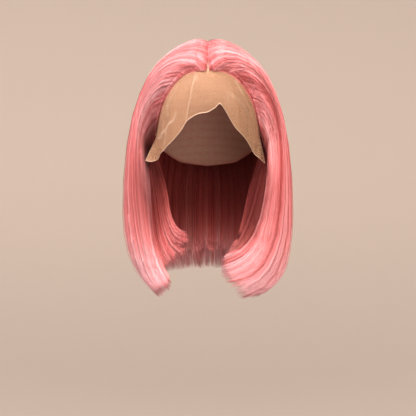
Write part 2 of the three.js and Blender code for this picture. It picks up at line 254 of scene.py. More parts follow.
def onSheet(sheet, kind, ring, place):
    # Values of a sheet at places round the cap (0 to 2) and along the hair (0 to 1, or a little more)
    values = sheet[kind]
    r = np.clip(ring / 2, 0, 1) * (values.shape[0] - 1)
    p = np.clip(place * sheetSize["steps"], 0, values.shape[1] - 1)
    r0 = np.minimum(r.astype(int), values.shape[0] - 2)
    p0 = np.minimum(p.astype(int), values.shape[1] - 2)
    fr, fp = r - r0, p - p0
    if values.ndim == 3:
        fr, fp = fr[..., None], fp[..., None]
    low = values[r0, p0] * (1 - fp) + values[r0, p0 + 1] * fp
    high = values[r0 + 1, p0] * (1 - fp) + values[r0 + 1, p0 + 1] * fp
    return low * (1 - fr) + high * fr


outerSheet = hairSheet(outerLocks, outerEndsRight, outerEndsLeft, sheetSize["outerPerHalf"])
underSheet = hairSheet(underLocks, underEndsRight, underEndsLeft, sheetSize["underPerHalf"])
layersRight = layerSheet(underSheet["points"][0], outerSheet["points"][0])
layersLeft = layerSheet(outerSheet["points"][-1], underSheet["points"][-1])
print("hair sheets laid out")


# Materials
def newMaterial(name):
    material = bpy.data.materials.new(name)
    material.use_nodes = True
    tree = material.node_tree
    return material, tree, tree.nodes["Principled BSDF"]


def newGroup(name, inputs, outputs):
    group = bpy.data.node_groups.new(name, "ShaderNodeTree")
    for way, sockets in (("INPUT", inputs), ("OUTPUT", outputs)):
        for label, kind in sockets.items():
            group.interface.new_socket(name=label, in_out=way, socket_type="NodeSocket" + kind)
    return group, group.nodes.new("NodeGroupInput"), group.nodes.new("NodeGroupOutput")


def feed(tree, socket, value):
    # A number or a colour is set on the socket, and a node's output is linked to it
    if isinstance(value, (int, float)):
        socket.default_value = value
    elif isinstance(value, tuple):
        socket.default_value = (*value, 1)
    else:
        tree.links.new(value, socket)


def mathNode(tree, operation, *values, clamp=False):
    node = tree.nodes.new("ShaderNodeMath")
    node.operation = operation
    node.use_clamp = clamp
    for socket, value in zip(node.inputs, values):
        feed(tree, socket, value)
    return node.outputs[0]


def mixColours(tree, factor, a, b, blend="MIX"):
    node = tree.nodes.new("ShaderNodeMix")
    node.data_type = "RGBA"
    node.blend_type = blend
    for socket, value in ((node.inputs["Factor"], factor), (node.inputs[6], a), (node.inputs[7], b)):
        feed(tree, socket, value)
    return node.outputs[2]


def addAttribute(tree, name):
    node = tree.nodes.new("ShaderNodeAttribute")
    node.attribute_name = name
    return node.outputs


def addNoise(tree, scale):
    # Slow change over the piece, from 0 to 1
    noise = tree.nodes.new("ShaderNodeTexNoise")
    noise.inputs["Scale"].default_value = scale
    noise.inputs["Detail"].default_value = 2
    place = tree.nodes.new("ShaderNodeTexCoord")
    feed(tree, noise.inputs["Vector"], place.outputs["Object"])
    return noise.outputs["Fac"]


# Shares by which drift, depth, the root, tint and shade change the tone of a strand; depth and shade are
# painted shade
toneSteps = {
    "driftScale": 60, "drift": 0.16, "sunk": 0.45, "rootDark": 0.15, "rootFade": 20,
    "tintRough": 0.12, "shadeRough": 0.35, "shadePowers": (1.5, 1.6),
}


def makeHairTone():
    # Colour of a strand from its tint, its place from root to tip, its depth in the curtain and its shade
    tree, given, out = newGroup("hairTone", {
        "Tint": "Float", "Place": "Float", "Depth": "Float", "Deep": "Color", "Middle": "Color",
        "Pale": "Color", "Smooth": "Float", "Shade": "Float",
    }, {"Color": "Color", "Roughness": "Float"})
    strandTint, place, depth, deep, middle, pale, smooth, shade = given.outputs[:8]
    noise = addNoise(tree, toneSteps["driftScale"])
    wander = mathNode(tree, "MULTIPLY_ADD", noise, toneSteps["drift"], -toneSteps["drift"] / 2)
    tint = mathNode(tree, "ADD", strandTint, wander)
    low = mathNode(tree, "MULTIPLY", tint, 2, clamp=True)  # deep to middle
    high = mathNode(tree, "MULTIPLY_ADD", tint, 2, -1, clamp=True)  # middle to pale
    # Strands deep in the curtain are mixed towards the deep colour, a painted shade inside the hair
    sunk = mathNode(tree, "MULTIPLY", depth, toneSteps["sunk"])
    root = mathNode(tree, "MULTIPLY_ADD", place, -toneSteps["rootFade"], toneSteps["rootDark"], clamp=True)
    colour = mixColours(tree, low, deep, middle)
    colour = mixColours(tree, high, colour, pale)
    colour = mixColours(tree, sunk, colour, deep)
    colour = mixColours(tree, root, colour, deep)
    shadow = tree.nodes.new("ShaderNodeCombineColor")  # shadow in hair is redder than grey
    feed(tree, shadow.inputs[0], shade)
    for socket, power in zip(shadow.inputs[1:], toneSteps["shadePowers"]):
        feed(tree, socket, mathNode(tree, "POWER", shade, power))
    colour = mixColours(tree, 1, colour, shadow.outputs[0], "MULTIPLY")
    rough = mathNode(tree, "MULTIPLY_ADD", strandTint, toneSteps["tintRough"], smooth)
    dull = mathNode(tree, "MULTIPLY_ADD", shade, -toneSteps["shadeRough"], toneSteps["shadeRough"])
    feed(tree, out.inputs["Color"], colour)
    feed(tree, out.inputs["Roughness"], mathNode(tree, "ADD", rough, dull))
    return tree


hairTone = makeHairTone()


def makeHairMaterial(name, look):
    material, tree, surface = newMaterial(name)
    strand = addAttribute(tree, "strandTone")
    split = tree.nodes.new("ShaderNodeSeparateColor")
    feed(tree, split.inputs[0], strand["Color"])
    tone = tree.nodes.new("ShaderNodeGroup")
    tone.node_tree = hairTone
    for label, source in zip(("Tint", "Place", "Depth"), split.outputs):
        feed(tree, tone.inputs[label], source)
    feed(tree, tone.inputs["Shade"], strand["Alpha"])
    for label in ("Deep", "Middle", "Pale", "Smooth"):
        feed(tree, tone.inputs[label], look[label.lower()])
    feed(tree, surface.inputs["Base Color"], tone.outputs["Color"])
    feed(tree, surface.inputs["Roughness"], tone.outputs["Roughness"])
    surface.inputs["Specular IOR Level"].default_value = look["gloss"]
    surface.inputs["IOR"].default_value = look["ior"]
    surface.inputs["Specular Tint"].default_value = (*look["shine"], 1)
    return material


outerLook = {
    "deep": (0.52, 0.065, 0.058), "middle": (0.92, 0.285, 0.292), "pale": (0.98, 0.53, 0.555),
    "smooth": 0.22, "gloss": 0.5, "ior": 1.85, "shine": (1, 0.62, 0.64),
}
# Darker than the outer hair: a painted shade for the hair that lies underneath
underLook = {
    "deep": (0.42, 0.05, 0.042), "middle": (0.85, 0.235, 0.24), "pale": (0.95, 0.42, 0.42),
    "smooth": 0.27, "gloss": 0.3, "ior": 1.5, "shine": (1, 0.5, 0.5),
}
outerHair = makeHairMaterial("outerHair", outerLook)
underHair = makeHairMaterial("underHair", underLook)


netForm = {"sharpness": 2.5, "bump": 0.3, "height": 0.0002, "gloss": 0.3, "driftScale": 45}


def makeNet():
    # Mask of the threads in a net of six-sided holes, in plane coordinates given in millimetres
    inputs = {"Vector": "Vector", "Pitch": "Float", "Thread": "Float"}
    tree, given, out = newGroup("net", inputs, {"Mask": "Float"})
    vector, pitch, thread = given.outputs[:3]
    split = tree.nodes.new("ShaderNodeSeparateXYZ")
    feed(tree, split.inputs[0], vector)
    turn = mathNode(tree, "DIVIDE", 4 * math.pi / math.sqrt(3), pitch)
    total = 0
    for angle in (0, math.pi / 3, 2 * math.pi / 3):
        across = mathNode(tree, "MULTIPLY", split.outputs[0], math.cos(angle))
        along = mathNode(tree, "MULTIPLY_ADD", split.outputs[1], math.sin(angle), across)
        wave = mathNode(tree, "COSINE", mathNode(tree, "MULTIPLY", along, turn))
        total = mathNode(tree, "ADD", total, wave)
    # The total runs from -1.5 where threads meet to 3 in the middle of a hole
    soft = mathNode(tree, "SUBTRACT", thread, total)
    mask = mathNode(tree, "MULTIPLY_ADD", soft, netForm["sharpness"], 0.5, clamp=True)
    feed(tree, out.inputs["Mask"], mask)
    return tree


netGroup = makeNet()


def makeNetMaterial(name, look, maskName):
    # Sheer net that closes up where the mask attribute says it is folded, bound or backed
    material, tree, surface = newMaterial(name)
    plane = tree.nodes.new("ShaderNodeUVMap")
    plane.uv_map = "netPlane"
    inMm = tree.nodes.new("ShaderNodeVectorMath")
    inMm.operation = "SCALE"
    inMm.inputs["Scale"].default_value = 1 / mm
    feed(tree, inMm.inputs[0], plane.outputs[0])
    net = tree.nodes.new("ShaderNodeGroup")
    net.node_tree = netGroup
    feed(tree, net.inputs["Vector"], inMm.outputs[0])
    feed(tree, net.inputs["Pitch"], look["pitch"])
    feed(tree, net.inputs["Thread"], look["thread"])
    fold = addAttribute(tree, maskName)["Fac"]
    tied = addAttribute(tree, "tiedHair")["Fac"]
    colour = mixColours(tree, addNoise(tree, netForm["driftScale"]), look["shade"], look["threadColour"])
    # Paler where the mask is high; along the lace's pressed lines this paleness is partly a painted highlight
    colour = mixColours(tree, fold, colour, look["foldColour"])
    colour = mixColours(tree, tied, colour, look["tiedColour"])
    closed = mathNode(tree, "MULTIPLY", fold, look["foldCover"])
    closed = mathNode(tree, "MAXIMUM", closed, tied)
    cover = mathNode(tree, "MULTIPLY_ADD", net.outputs["Mask"], look["netCover"], look["baseCover"])
    thin = mathNode(tree, "MINIMUM", fold, 0)  # below 0 the net is drawn open
    opened = mathNode(tree, "MULTIPLY_ADD", cover, thin, cover)
    feed(tree, surface.inputs["Base Color"], colour)
    feed(tree, surface.inputs["Alpha"], mathNode(tree, "MAXIMUM", opened, closed))
    surface.inputs["Roughness"].default_value = look["roughness"]
    surface.inputs["Specular IOR Level"].default_value = netForm["gloss"]
    bump = tree.nodes.new("ShaderNodeBump")
    bump.inputs["Strength"].default_value = netForm["bump"]
    bump.inputs["Distance"].default_value = netForm["height"]
    feed(tree, bump.inputs["Height"], net.outputs["Mask"])
    feed(tree, surface.inputs["Normal"], bump.outputs[0])
    return material


laceLook = {
    "pitch": 0.9, "thread": -0.95, "netCover": 0.8, "baseCover": 0.05, "foldCover": 0.8, "roughness": 0.6,
    "shade": (0.58, 0.30, 0.165), "threadColour": (0.70, 0.375, 0.215), "foldColour": (0.92, 0.71, 0.55),
    "tiedColour": (0.66, 0.16, 0.16),
}
capLook = {
    "pitch": 2.4, "thread": 0.2, "netCover": 0.65, "baseCover": 0.3, "foldCover": 0.95, "roughness": 0.75,
    "shade": (0.46, 0.27, 0.19), "threadColour": (0.58, 0.38, 0.28), "foldColour": (0.52, 0.22, 0.17),
    "tiedColour": (0.60, 0.14, 0.14),
}
laceNet = makeNetMaterial("laceNet", laceLook, "laceFold")
capNet = makeNetMaterial("capNet", capLook, "weftRow")
print("materials made")


# Meshes
def makeMesh(name, points, faces, material):
    # faces is a list of index arrays, one array for each number of corners
    mesh = bpy.data.meshes.new(name)
    corners = np.concatenate([f.ravel() for f in faces]).astype(np.int32)
    totals = np.concatenate([np.full(len(f), f.shape[1]) for f in faces]).astype(np.int32)
    starts = np.concatenate([[0], np.cumsum(totals)[:-1]]).astype(np.int32)
    mesh.vertices.add(len(points))
    mesh.vertices.foreach_set("co", np.asarray(points * mm, np.float32).ravel())
    mesh.loops.add(len(corners))
    mesh.loops.foreach_set("vertex_index", corners)
    mesh.polygons.add(len(totals))
    mesh.polygons.foreach_set("loop_start", starts)
    mesh.polygons.foreach_set("loop_total", totals)
    mesh.polygons.foreach_set("use_smooth", np.ones(len(totals), bool))
    mesh.update(calc_edges=True)
    mesh.materials.append(material)
    piece = bpy.data.objects.new(name, mesh)
    scene.collection.objects.link(piece)
    return piece


def addPiece(piece, node):
    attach(piece, "root")
    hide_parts(node)


# A strand's cell in the bake's map: its height to its width, the shares of it that a side's width and the
# strand's length take, and the root's triangle beside the three sides
bakeCell = {"tall": 3, "strip": (0.25, 0.94), "root": [[3.2, 0], [3.6, 0], [3.4, 0.04]]}


def strandFaces(points):
    # Corners and map places of one three-sided strand: quads along it, triangles at the tip and the root
    quads, quadUv, tris, triUv = [], [], [], []
    last = points - 2  # the last ring before the tip
    for p in range(last):
        low, high = p / (points - 1), (p + 1) / (points - 1)
        for s in range(3):
            n = (s + 1) % 3
            quads.append([3 * p + s, 3 * p + n, 3 * p + 3 + n, 3 * p + 3 + s])
            quadUv.append([[s, low], [s + 1, low], [s + 1, high], [s, high]])
    for s in range(3):
        low = last / (points - 1)
        tris.append([3 * last + s, 3 * last + (s + 1) % 3, 3 * last + 3])
        triUv.append([[s, low], [s + 1, low], [s + 0.5, 1]])
    tris.append([2, 1, 0])
    triUv.append(bakeCell["root"])
    return (quads, quadUv), (tris, triUv)


def makeStrands(name, paths, radii, tones, material):
    # One mesh of closed strands: paths is strands by points, and the last point is the tip
    count, points = paths.shape[:2]
    sideAxis = np.array([0.31, 0.52, 0.79])  # sets how the sides of a strand are turned
    along = unit(np.gradient(paths, axis=1))
    side = unit(np.cross(along, sideAxis))
    up = np.cross(along, side)
    rings = []
    for angle in (0, 2 * math.pi / 3, 4 * math.pi / 3):
        rings.append(paths + (side * math.cos(angle) + up * math.sin(angle)) * radii[..., None])
    body = np.stack(rings, axis=2)[:, :-1].reshape(count, -1, 3)
    vertices = np.concatenate([body, paths[:, -1:]], axis=1)
    offsets = np.arange(count)[:, None, None] * vertices.shape[1]
    columns = int(math.ceil(math.sqrt(count * bakeCell["tall"])))
    rows = int(math.ceil(count / columns))
    cell = np.arange(count)
    corner = np.stack([cell % columns / columns, cell // columns / rows], axis=-1)[:, None, None]
    strip = np.array(bakeCell["strip"]) / (columns, rows)
    faces, uv = [], []
    for corners, places in strandFaces(points):
        faces.append((np.array(corners)[None] + offsets).reshape(-1, len(corners[0])))
        uv.append((np.array(places)[None] * strip + corner).reshape(-1, 2))
    piece = makeMesh(name, vertices.reshape(-1, 3), faces, material)
    layer = piece.data.uv_layers.new(name="OFBake")
    layer.data.foreach_set("uv", np.concatenate(uv).astype(np.float32).ravel())
    colours = piece.data.color_attributes.new("strandTone", "FLOAT_COLOR", "POINT")
    perVertex = np.concatenate([np.repeat(tones[:, :-1], 3, axis=1), tones[:, -1:]], axis=1)
    colours.data.foreach_set("color", perVertex.astype(np.float32).ravel())
    return piece


# What all the curtains share, lengths in millimetres and places as shares of the hair's length
strandForm = {
    "leastWidth": 0.05, "ribbonShape": 1.6, "longest": 1.005, "partBand": 0.25, "partPale": 0.02,
    "innerDepth": (0.55, 1), "outerDepth": 0.6, "innerPull": 0.2, "innerShade": 0.25, "tipHidden": 0.8,
    "depthPower": 1.6, "lengthPower": 3, "rootPower": 1.5, "strayPower": 3,
    "waves": 1.3, "wavePhase": 400, "sinkReach": 0.03, "looseDepth": 0.5, "looseHeight": (0.5, 3),
    "endThickness": 1.6, "edgeThickness": 0.3, "rootThickness": 0.7, "bedShare": 0.92,
    "grooveRoot": 0.5, "grooveGrowth": 2.7, "grooveShare": 0.45, "groovePower": 4,
}
# Start and stretch of changes along the hair, and of the hairline's end round the cap
strandRamps = {
    "rootThickness": (0, 0.05), "ribbonDepth": (0, 0.25), "sway": (0, 0.5), "clump": (0, 0.9),
    "tip": (0.8, 0.2), "parting": (0.05, 0.1), "partingEnd": (0.25, 0.3), "hairlineEnd": (0.36, 0.1),
}
# Middle part: how far off hair still counts, and start and stretch of changes in height or along the hair
partForm = {
    "reach": 6, "fade": 2, "closed": 1.1,
    "closing": (-38, 10), "rising": (-42, 22), "leanEnd": (0, 0.03), "riseEnd": (0, 0.045),
}


def drift(order, knots, size):
    # Smooth random drift over places from 0 to 1
    heights = rng.normal(0, size, knots + 2)
    low = (order * knots).astype(int)
    t = ease(order * knots - low)
    return heights[low] * (1 - t) + heights[low + 1] * t


def nearTip(place):
    return ramp(place, *strandRamps["tip"])


def nearSpot(path, place, spot):
    # 1 at a spot given as place round the cap, breadth, place along the hair and reach, fading to 0
    at, breadth, down, reach = spot
    return bell(path - at, breadth) * bell(place - down, reach)


def spreadRound(sheet, spec, samples=400):
    # Share of the strands up to each place round the cap, by the width of the sheet at two levels
    fine = np.linspace(*spec["ring"], samples)
    widths = [onSheet(sheet, "width", fine, np.full(samples, place)) for place in spec["spreadAt"]]
    width = sum(w / w.mean() for w in widths) + strandForm["leastWidth"]
    spread = np.concatenate([[0], np.cumsum((width[1:] + width[:-1]) / 2)])
    return fine, spread / spread[-1]


def drawStrands(sheet, spec):
    # What chance gives each strand: place round the cap, ribbon, depth, length and root
    count, ribbons = spec["count"], spec["ribbons"]
    fine, spread = spreadRound(sheet, spec)
    order = np.sort(rng.random(count))
    ring = np.interp(order, spread, fine)
    # Ribbons of strands that hold together, of uneven width
    cuts = np.cumsum(rng.gamma(strandForm["ribbonShape"], 1, ribbons))
    cuts = cuts / cuts[-1]
    ribbon = np.minimum(np.searchsorted(cuts, order), ribbons - 1)
    centre = np.interp((cuts + np.concatenate([[0], cuts[:-1]])) / 2, spread, fine)[ribbon]
    ribbonTint = rng.normal(0, spec["ribbonTint"], ribbons)[ribbon]
    ribbonDepth = rng.uniform(0, spec["ribbonDepth"], ribbons)[ribbon]
    ribbonLength = rng.uniform(spec["shortest"], strandForm["longest"], ribbons)[ribbon]
    sway = rng.normal(0, spec["sway"], (ribbons, 2))[ribbon]
    # Fine strands outside, broader ones inside that close the curtain
    inside = rng.random(count) < spec["inside"]
    innerDepth = rng.uniform(*strandForm["innerDepth"], count)
    outerDepth = rng.random(count) ** strandForm["depthPower"] * strandForm["outerDepth"]
    depth = np.where(inside, innerDepth, outerDepth)
    length = ribbonLength * (1 - spec["uneven"] * rng.random(count) ** strandForm["lengthPower"])
    # 1 along the hairline, 0 along the part and the crown
    atHairline = 1 - ramp(np.minimum(ring, 2 - ring), *strandRamps["hairlineEnd"])
    band = strandForm["partBand"] + (1 - strandForm["partBand"]) * atHairline
    start = rng.random(count) ** strandForm["rootPower"] * spec["rootBand"] * band
    return SimpleNamespace(
        order=order, ribbonTint=ribbonTint, sway=sway, ring=ring[:, None], centre=centre[:, None],
        ribbonDepth=ribbonDepth[:, None], inside=inside[:, None], depth=depth[:, None],
        length=length[:, None], start=start[:, None], atHairline=atHairline[:, None])


def strandCourse(strands, spec, along):
    # Place of each point along the hair and round the cap
    place = strands.start + (strands.length - strands.start) * along
    pull = spec["clump"] * ramp(place, *strandRamps["clump"]) + spec["tipClump"] * nearTip(place)
    pull = pull * (1 - (1 - strandForm["innerPull"]) * strands.inside)
    path = strands.ring + (strands.centre - strands.ring) * pull
    turn = math.pi * (place * strandForm["waves"] + strands.sway[:, :1] * strandForm["wavePhase"])
    sway = np.sin(turn) * strands.sway[:, 1:] * ramp(place, *strandRamps["sway"])
    stray = rng.normal(0, spec["stray"], spec["count"])[:, None] * place ** strandForm["strayPower"]
    return place, np.clip(path + sway + stray, *spec["ring"])


def curtainThickness(spec, place, path, outer):
    # Thin at the root, at the end and along the side edges, and within the room over the bed
    low, high = spec["ring"]
    thinEnd, thinEdge = strandForm["endThickness"], strandForm["edgeThickness"]
    wanted = thinEnd + (spec["thickness"] - thinEnd) * (1 - nearTip(place))
    toEdge = np.minimum(path - low, high - path) / (high - low) * spec["locks"]
    wanted = wanted * (thinEdge + (1 - thinEdge) * ease(toEdge))
    room = np.minimum(wanted, np.maximum(rootDepth, clearOfBed(outer) * strandForm["bedShare"]))
    bedded = ramp(outer[..., 2], bedEnd["foot"], bedEnd["top"] - bedEnd["foot"])
    return wanted + (room - wanted) * bedded


def strandInset(strands, spec, place, path, outer):
    # How deep each point lies under the outer face of the curtain
    low, high = spec["ring"]
    thick = curtainThickness(spec, place, path, outer)
    # Hair leaves the lace slowly along the hairline, and at once along the part
    slow, quick = spec["emerge"]
    emerge = ramp(place, strands.start, quick + (slow - quick) * strands.atHairline)
    share = 1 + (strands.depth - 1) * emerge
    # Grooves between the locks, and ribbons that lie deeper than their neighbours
    lockPhase = (path - low) / (high - low) * spec["locks"] % 1
    deepest = strandForm["grooveRoot"] + strandForm["grooveGrowth"] * place
    deepest = np.minimum(deepest, thick * strandForm["grooveShare"]) * spec["groove"]
    groove = np.abs(2 * lockPhase - 1) ** strandForm["groovePower"] * deepest
    sunk = strands.ribbonDepth * ramp(place, *strandRamps["ribbonDepth"])
    inset = share * (thick - groove) + groove + sunk * (1 - share)
    upperHalf = ramp(place, *strandRamps["parting"]) * (1 - ramp(place, *strandRamps["partingEnd"]))
    for at, breadth, deep in spec["partings"]:
        inset = inset + deep * bell(path - at, breadth) * upperHalf
    isLoose = rng.random(spec["count"]) < spec["flyaways"]
    loose = np.where(isLoose, rng.uniform(*strandForm["looseHeight"], spec["count"]), 0)[:, None]
    inset = np.where(loose > 0, share * strandForm["looseDepth"] - loose * ease(place), inset)
    # Roots come down to the net
    atRoot = 1 - ramp(place, strands.start, strandForm["sinkReach"])
    return inset + spec["rootSink"] * strands.atHairline * atRoot


def besidePart(paths):
    return np.clip((partForm["reach"] - np.abs(paths[:, :1, 0])) / partForm["fade"], 0, 1)


def closePart(paths, place, spec):
    # At the part the two halves lean in to each other, and close it and rise towards the crown
    height = paths[:, :1, 2].copy()
    lean = spec["lean"] + (partForm["closed"] - spec["lean"]) * ramp(height, *partForm["closing"])
    paths[..., 0] *= 1 - besidePart(paths) * (1 - ramp(place, *partForm["leanEnd"])) * lean
    rise = besidePart(paths) * ramp(height, *partForm["rising"]) * spec["partRise"]
    paths[..., 2] += rise * (1 - ramp(place, *partForm["riseEnd"]))


def strandTones(strands, spec, place, path):
    # Tint with its painted highlight and painted shade, place from the root, depth and painted shade of each
    # point
    tint = 0.5 + drift(strands.order, spec["bands"], spec["bandTint"]) + strands.ribbonTint
    tint = tint + rng.normal(0, spec["tint"], spec["count"])
    # Painted highlight at the crown and the ends and painted shade on the mid-lengths, along the hair
    paintedLight = np.interp(place, spec["paintedLightAt"], spec["paintedLightBy"])
    # Spots that raise the tint are painted highlight, spots that lower it are painted shade
    for *spot, change in spec["tones"]:
        paintedLight = paintedLight + change * nearSpot(path, place, spot)
    fromRoot = place + strandForm["partPale"] * (1 - strands.atHairline)  # no darker roots along the part
    # At the tips the inner strands show like the outer ones
    hidden = 1 - strandForm["tipHidden"] * nearTip(place)
    shade = np.interp(place, spec["shadeAt"], spec["shadeBy"])
    shade = shade * (1 - strandForm["innerShade"] * strands.inside * hidden)
    for *spot, change in spec["shades"]:
        shade = shade * (1 - change * nearSpot(path, place, spot))
    return np.stack([np.clip(tint[:, None] + paintedLight, 0, 1), fromRoot, strands.depth * hidden, shade], axis=-1)


def layStrands(sheet, spec):
    # Paths, radii and tones of the strands of one curtain between two places round the cap
    along = np.interp(np.linspace(0, 1, spec["points"]), np.linspace(0, 1, len(spec["pace"])), spec["pace"])
    strands = drawStrands(sheet, spec)
    place, path = strandCourse(strands, spec, along)
    outer = onSheet(sheet, "points", path, place)
    normal = unit(onSheet(sheet, "normals", path, place))
    paths = outer - normal * strandInset(strands, spec, place, path, outer)[..., None]
    closePart(paths, place, spec)
    for *spot, move in spec["fills"]:
        paths = paths + nearSpot(path, place, spot)[..., None] * np.array(move)
    radius = rng.uniform(*spec["radius"], spec["count"])[:, None]
    radius = radius * np.where(strands.inside, spec["broader"], 1)
    thinRoot = strandForm["rootThickness"]
    full = thinRoot + (1 - thinRoot) * ramp(along, *strandRamps["rootThickness"])
    radii = radius * (1 - spec["taper"] * nearTip(along)) * full
    return paths, radii, strandTones(strands, spec, place, path)


# Hair: strands laid on the sheets. The ring runs from 0 at the right front corner by 1 at the back to 2 at
# the left one. Tones, shades and fills are spots: place round the cap, breadth, place along the hair and
# reach, then the change of tint, the share of shade or the move. Partings are place, breadth and depth
# Tones paint highlight where they raise the tint and shade where they lower it; shades paint shade
sideSpec = {
    "count": 1950, "points": 18, "ribbons": 110, "locks": 10, "thickness": 9,
    "radius": (0.18, 0.30), "broader": 2.0, "taper": 0.7, "inside": 0.3, "flyaways": 0.004,
    "clump": 0.16, "tipClump": 0.14, "sway": 0.0012, "stray": 0.002, "shortest": 0.985, "uneven": 0.035,
    "ribbonTint": 0.15, "ribbonDepth": 0.5, "bands": 16, "bandTint": 0.10, "tint": 0.08, "groove": 0.35,
    "rootBand": 0.03, "rootSink": 0.9, "emerge": (0.07, 0.03), "lean": 0.5, "partRise": 2.5,
    "spreadAt": (0.04, 0.6), "pace": [0, 0.03, 0.08, 0.15, 0.23, 0.33, 0.5, 0.7, 0.82, 0.92, 1],
    # Painted light along the hair: paler crown and ends as painted highlight, darker mid-lengths as painted
    # shade
    "paintedLightAt": [0, 0.08, 0.28, 0.45, 0.68, 0.84, 1], "paintedLightBy": [0, 0.14, 0.1, -0.1, -0.04, 0.22, 0.2],
    "shadeAt": [0, 0.3, 0.48, 0.65, 0.8, 1], "shadeBy": [1, 0.95, 0.72, 0.74, 0.96, 1],
    "partings": [], "tones": [], "shades": [], "fills": [],
}
sideEnd = 0.74
rightSpec = dict(
    sideSpec, ring=(0, sideEnd), partings=[(0.40, 0.008, 2.5), (0.31, 0.006, 1.5)],
    # Painted shade on the mid-lengths, painted highlight high up, along the outer edge and on the ends
    tones=[
        (0.13, 0.04, 0.47, 0.2, -0.3), (0.24, 0.03, 0.52, 0.2, -0.25), (0.3, 0.15, 0.18, 0.14, 0.3),
        (0.44, 0.1, 0.5, 0.25, 0.2), (0.38, 0.16, 0.9, 0.09, 0.5),
    ],
    shades=[
        (0, 0.1, 0.12, 0.3, 0.9), (0.04, 0.08, 0.14, 0.16, 0.6), (0, 0.06, 0.53, 0.22, 0.65),
        (0.12, 0.14, 0.42, 0.19, 0.65), (0, 0.04, 0.8, 0.12, 0.45), (0.27, 0.04, 0.55, 0.2, 0.15),
        (0.655, 0.05, 0, 0.03, 0.8), (0.69, 0.1, 0.08, 0.08, 0.45),
    ],
)
leftSpec = dict(
    sideSpec, ring=(2 - sideEnd, 2), partings=[(1.62, 0.008, 2.5), (1.70, 0.006, 2)],
    # Painted shade high on the side, painted highlight along the outer edge and on the ends
    tones=[(1.72, 0.2, 0.3, 0.25, -0.15), (1.56, 0.1, 0.5, 0.25, 0.2), (1.58, 0.16, 0.92, 0.08, 0.35)],
    shades=[
        (2, 0.05, 0.12, 0.36, 0.8), (1.67, 0.14, 0.22, 0.13, 0.42), (1.9, 0.08, 0.42, 0.2, 0.4),
        (2, 0.06, 0.55, 0.2, 0.4), (2, 0.05, 0.75, 0.12, 0.35), (1.345, 0.05, 0, 0.03, 0.8),
        (1.31, 0.1, 0.08, 0.08, 0.45),
    ],
    fills=[(1.91, 0.07, 0.2, 0.11, (-6, -9, 0))],  # fuller hair beside the left end of the lace
)
backSpec = dict(
    sideSpec, ring=(sideEnd, 2 - sideEnd), count=2500, points=14, ribbons=80, inside=0.4, taper=0.1,
    clump=0.03, tipClump=0, shortest=0.998, uneven=0.005, spreadAt=(0.6, 0.95),
    pace=[0, 0.03, 0.08, 0.14, 0.205, 0.275, 0.36, 0.5, 0.72, 0.88, 1],
    shades=[(1, 0.4, 0, 0.03, 0.4), (0.74, 0.07, 0.08, 0.08, 0.4), (1.26, 0.07, 0.08, 0.08, 0.4)],
)
underSpec = dict(
    sideSpec, ring=(0, 1), count=1150, points=16, ribbons=38, locks=5, thickness=6, ribbonDepth=0.8,
    lean=0, partRise=0, shortest=0.93, spreadAt=(0.6, 0.95),
    pace=[0, 0.05, 0.12, 0.22, 0.35, 0.5, 0.65, 0.78, 0.88, 0.95, 1],
    # Painted shade on the upper mid-lengths and painted highlight on the ends
    paintedLightBy=[0, 0, -0.1, -0.1, 0, 0.25, 0.3],
    shadeAt=[0, 0.5, 0.72, 0.9, 1], shadeBy=[0.25, 0.26, 0.5, 0.95, 1],
)
underLeftSpec = dict(underSpec, ring=(1, 2), shades=[(2, 0.4, 0.8, 0.25, 0.55)])
layerSpec = dict(
    underSpec, ring=(0, 2), count=330, ribbons=14, locks=3, thickness=3, shortest=0.9, spreadAt=(0.8, 1),
    shadeAt=[0, 0.45, 0.65, 0.85, 1], shadeBy=[0.1, 0.13, 0.34, 0.85, 1],
)
layerLeftSpec = dict(layerSpec, shadeBy=[0.12, 0.12, 0.16, 0.33, 0.75])

underRight = [(underSheet, underSpec), (layersRight, layerSpec)]
underLeft = [(underSheet, underLeftSpec), (layersLeft, layerLeftSpec)]
for name, node, layings, material in (
    ("sideHairRight", "side_hair_right", [(outerSheet, rightSpec)], outerHair),
    ("sideHairLeft", "side_hair_left", [(outerSheet, leftSpec)], outerHair),
    ("backHair", "back_hair", [(outerSheet, backSpec)], outerHair),
    ("underHairRight", "under_hair_right", underRight, underHair),
    ("underHairLeft", "under_hair_left", underLeft, underHair),
):
    laid = [layStrands(sheet, spec) for sheet, spec in layings]
    paths, radii, tones = (np.concatenate(parts) for parts in zip(*laid))
    addPiece(makeStrands(name, paths, radii, tones, material), node)
    print(name, "strands", len(paths))


# Lace front and cap. Edge of the cap: azimuth from the front, elevation
capEdge = np.array([
    [0, 54], [30, 46], [50, 33], [64, 14], [76, 0], [92, -7], [115, -18], [145, -25], [180, -27],
], float)
# Lace from side to side: azimuth, elevation of the hairline and of the cut, how far the cut stands off
laceRows = np.array([
    [-75, -12, -22.5, 21], [-70, -10.5, -24, 15], [-64, -7, -24, 8], [-56, 0.5, -21, 4],
    [-42, 17, -16.5, 2], [-30, 26.5, -11.5, 1], [-20, 29.5, -5.5, 0.6], [-10, 30.5, -2.4, 0.4],
    [0, 31, -1.5, 0.4], [7, 31, 1, 0.4], [12, 30.5, 4.2, 0.6], [18, 30, -1.2, 0.8],
    [29, 26.5, -9.4, 1], [42, 17, -14.5, 2], [57, -1, -21.4, 3], [66, -8.5, -23.5, 7],
    [75, -12, -25, 14],
], float)
# Creases: azimuth at the hairline and at the cut, half width, height
laceCreases = [
    (-14, -21.5, 3, 2.2), (-34, -46, 3.5, 2.0), (-43, -57, 4, 2.6), (22, 33, 4, 2.0), (40, 64, 4, 2.6),
]
